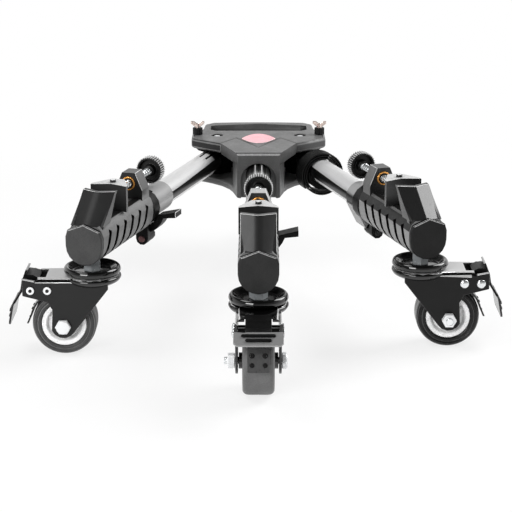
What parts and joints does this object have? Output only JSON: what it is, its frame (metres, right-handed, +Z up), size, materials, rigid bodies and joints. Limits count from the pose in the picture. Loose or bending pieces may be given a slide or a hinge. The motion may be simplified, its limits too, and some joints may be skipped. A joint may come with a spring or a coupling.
{
  "type": "tripod dolly",
  "caption": "Folding wheeled dolly for a camera tripod: hub with carry handle, telescoping legs, screw-driven foot clamps and braked swivel casters.",
  "frame": {"origin": "on the floor, under the middle of the bounding box", "axes": "+Z up, -Y along the front leg, +X towards the right leg as seen from behind the handle looking at the front leg"},
  "size_m": [0.5773, 0.7496, 0.1915],
  "materials": {
    "moulded": "black glass-filled moulding",
    "cap_black": "black moulding",
    "anodised": "satin anodised",
    "black_steel": "gloss black powder coat",
    "zinc": "bright zinc plate",
    "brass": "machined",
    "tyre": "grey-black rubber tread",
    "white_plastic": "white moulding",
    "grey_steel": "grey sheet steel",
    "inlay": "plain pink-red inlay",
    "webbing": "ribbed black strap"
  },
  "bodies": {
    "hub": {"hub_cover": "moulded", "hub_base": "moulded", "hub_badge": "inlay", "left_pivot_pin": "zinc", "right_pivot_pin": "zinc", "front_leg_tube": "anodised"},
    "left_leg": {"left_leg_tube": "anodised", "left_leg_knuckle": "cap_black"},
    "left_wing_screw": {"left_thumb_screw": "zinc"},
    "right_leg": {"right_leg_tube": "anodised", "right_leg_knuckle": "cap_black", "right_leg_strap": "webbing"},
    "right_wing_screw": {"right_thumb_screw": "zinc"},
    "left_carriage": {"left_leg_sleeve": "anodised", "left_leg_housing": "moulded", "left_end_cap": "cap_black", "left_clamp_insert": "brass", "left_lock_band": "moulded", "left_caster_raceway": "black_steel"},
    "left_jaw": {"left_moving_jaw": "cap_black"},
    "left_screw": {"left_clamp_screw": "cap_black"},
    "left_lever": {"left_lock_lever": "moulded"},
    "left_fork": {"left_caster_fork": "black_steel", "left_caster_axle": "zinc"},
    "left_wheel": {"left_caster_tyre": "tyre", "left_caster_rim": "white_plastic"},
    "left_pedal": {"left_brake_pedal": "black_steel"},
    "right_carriage": {"right_leg_sleeve": "anodised", "right_leg_housing": "moulded", "right_end_cap": "cap_black", "right_clamp_insert": "brass", "right_lock_band": "moulded", "right_caster_raceway": "black_steel"},
    "right_jaw": {"right_moving_jaw": "cap_black"},
    "right_screw": {"right_clamp_screw": "cap_black"},
    "right_lever": {"right_lock_lever": "moulded"},
    "right_fork": {"right_caster_fork": "black_steel", "right_caster_axle": "zinc"},
    "right_wheel": {"right_caster_tyre": "tyre", "right_caster_rim": "white_plastic"},
    "right_pedal": {"right_brake_pedal": "black_steel"},
    "front_carriage": {"front_leg_sleeve": "anodised", "front_leg_housing": "moulded", "front_end_cap": "cap_black", "front_clamp_insert": "brass", "front_lock_band": "moulded", "front_caster_raceway": "black_steel"},
    "front_jaw": {"front_moving_jaw": "cap_black"},
    "front_screw": {"front_clamp_screw": "cap_black"},
    "front_lever": {"front_lock_lever": "moulded"},
    "front_fork": {"front_caster_fork": "black_steel", "front_caster_axle": "zinc"},
    "front_wheel": {"front_caster_tyre": "tyre", "front_caster_rim": "white_plastic"},
    "front_pedal": {"front_brake_pedal": "black_steel"},
    "left_shoe": {"left_brake_shoe": "grey_steel"},
    "right_shoe": {"right_brake_shoe": "grey_steel"},
    "front_shoe": {"front_brake_shoe": "grey_steel"}
  },
  "joints": [
    {"name": "left_leg_fold", "type": "hinge", "parent": "hub", "child": "left_leg", "pos_m": [-0.0585, 0.28384, 0.1335], "axis": [0, 0, 1], "range_deg": [-102.8, 6.2]},
    {"name": "left_wing_screw_turn", "type": "hinge", "parent": "hub", "child": "left_wing_screw", "pos_m": [-0.086, 0.28584, 0.18], "axis": [0, 0, 1], "range_deg": [-180, 180]},
    {"name": "right_leg_fold", "type": "hinge", "parent": "hub", "child": "right_leg", "pos_m": [0.0585, 0.28384, 0.1335], "axis": [0, 0, 1], "range_deg": [-6.9, 102.1]},
    {"name": "right_wing_screw_turn", "type": "hinge", "parent": "hub", "child": "right_wing_screw", "pos_m": [0.086, 0.28584, 0.18], "axis": [0, 0, 1], "range_deg": [-180, 180]},
    {"name": "left_telescope", "type": "slide", "parent": "left_leg", "child": "left_carriage", "axis": [-0.2957, -0.9553, 0], "range_m": [-0.108, 0.067]},
    {"name": "left_jaw_slide", "type": "slide", "parent": "left_carriage", "child": "left_jaw", "axis": [-0.2957, -0.9553, 0], "range_m": [-0.028, 0.018]},
    {"name": "left_screw_turn", "type": "hinge", "parent": "left_jaw", "child": "left_screw", "pos_m": [-0.15106, -0.01516, 0.174], "axis": [-0.2957, -0.9553, 0], "range_deg": [-3360, 2160]},
    {"name": "left_lever_flip", "type": "hinge", "parent": "left_carriage", "child": "left_lever", "pos_m": [-0.14007, 0.00342, 0.0965], "axis": [0.2957, 0.9553, 0], "range_deg": [0, 70]},
    {"name": "left_caster_swivel", "type": "hinge", "parent": "left_carriage", "child": "left_fork", "pos_m": [-0.19305, -0.15081, 0.0925], "axis": [0, 0, 1], "continuous": true},
    {"name": "left_wheel_spin", "type": "hinge", "parent": "left_fork", "child": "left_wheel", "pos_m": [-0.22605, -0.15081, 0.03732], "axis": [0, 1, 0], "continuous": true},
    {"name": "left_brake_pedal", "type": "hinge", "parent": "left_fork", "child": "left_pedal", "pos_m": [-0.26245, -0.15081, 0.081], "axis": [0, 1, 0], "range_deg": [0, 62]},
    {"name": "left_shoe_swing", "type": "hinge", "parent": "left_fork", "child": "left_shoe", "pos_m": [-0.24295, -0.15081, 0.081], "axis": [0, 1, 0], "range_deg": [0, 10]},
    {"name": "right_telescope", "type": "slide", "parent": "right_leg", "child": "right_carriage", "axis": [0.3074, -0.9516, 0], "range_m": [-0.082, 0.093]},
    {"name": "right_jaw_slide", "type": "slide", "parent": "right_carriage", "child": "right_jaw", "axis": [0.3074, -0.9516, 0], "range_m": [-0.028, 0.018]},
    {"name": "right_screw_turn", "type": "hinge", "parent": "right_jaw", "child": "right_screw", "pos_m": [0.14671, 0.01073, 0.174], "axis": [0.3074, -0.9516, 0], "range_deg": [-3360, 2160]},
    {"name": "right_lever_flip", "type": "hinge", "parent": "right_carriage", "child": "right_lever", "pos_m": [0.14502, 0.03225, 0.0965], "axis": [-0.3074, 0.9516, 0], "range_deg": [0, 70]},
    {"name": "right_caster_swivel", "type": "hinge", "parent": "right_carriage", "child": "right_fork", "pos_m": [0.19036, -0.1244, 0.0925], "axis": [0, 0, 1], "continuous": true},
    {"name": "right_wheel_spin", "type": "hinge", "parent": "right_fork", "child": "right_wheel", "pos_m": [0.22336, -0.1244, 0.03732], "axis": [0, -1, 0], "continuous": true},
    {"name": "right_brake_pedal", "type": "hinge", "parent": "right_fork", "child": "right_pedal", "pos_m": [0.25976, -0.1244, 0.081], "axis": [0, -1, 0], "range_deg": [0, 62]},
    {"name": "right_shoe_swing", "type": "hinge", "parent": "right_fork", "child": "right_shoe", "pos_m": [0.24026, -0.1244, 0.081], "axis": [0, -1, 0], "range_deg": [0, 10]},
    {"name": "front_telescope", "type": "slide", "parent": "hub", "child": "front_carriage", "axis": [0, -1, 0], "range_m": [-0.095, 0.08]},
    {"name": "front_jaw_slide", "type": "slide", "parent": "front_carriage", "child": "front_jaw", "axis": [0, -1, 0], "range_m": [-0.028, 0.018]},
    {"name": "front_screw_turn", "type": "hinge", "parent": "front_jaw", "child": "front_screw", "pos_m": [0, -0.11416, 0.174], "axis": [0, -1, 0], "range_deg": [-3360, 2160]},
    {"name": "front_lever_flip", "type": "hinge", "parent": "front_carriage", "child": "front_lever", "pos_m": [0.005, -0.09316, 0.0965], "axis": [0, 1, 0], "range_deg": [0, 70]},
    {"name": "front_caster_swivel", "type": "hinge", "parent": "front_carriage", "child": "front_fork", "pos_m": [0, -0.25616, 0.0925], "axis": [0, 0, 1], "continuous": true},
    {"name": "front_wheel_spin", "type": "hinge", "parent": "front_fork", "child": "front_wheel", "pos_m": [0, -0.28916, 0.03732], "axis": [-1, 0, 0], "continuous": true},
    {"name": "front_brake_pedal", "type": "hinge", "parent": "front_fork", "child": "front_pedal", "pos_m": [0, -0.32556, 0.081], "axis": [-1, 0, 0], "range_deg": [-62, 0]},
    {"name": "front_shoe_swing", "type": "hinge", "parent": "front_fork", "child": "front_shoe", "pos_m": [0, -0.30606, 0.081], "axis": [-1, 0, 0], "range_deg": [-10, 0]}
  ],
  "couplings": [
    {"joint": "left_screw_turn", "follows": "left_jaw_slide", "rad_per_m": 2094.4},
    {"joint": "right_screw_turn", "follows": "right_jaw_slide", "rad_per_m": 2094.4},
    {"joint": "front_screw_turn", "follows": "front_jaw_slide", "rad_per_m": 2094.4},
    {"joint": "left_shoe_swing", "follows": "left_brake_pedal", "ratio": 0.16129},
    {"joint": "right_shoe_swing", "follows": "right_brake_pedal", "ratio": 0.16129},
    {"joint": "front_shoe_swing", "follows": "front_brake_pedal", "ratio": 0.16129}
  ]
}
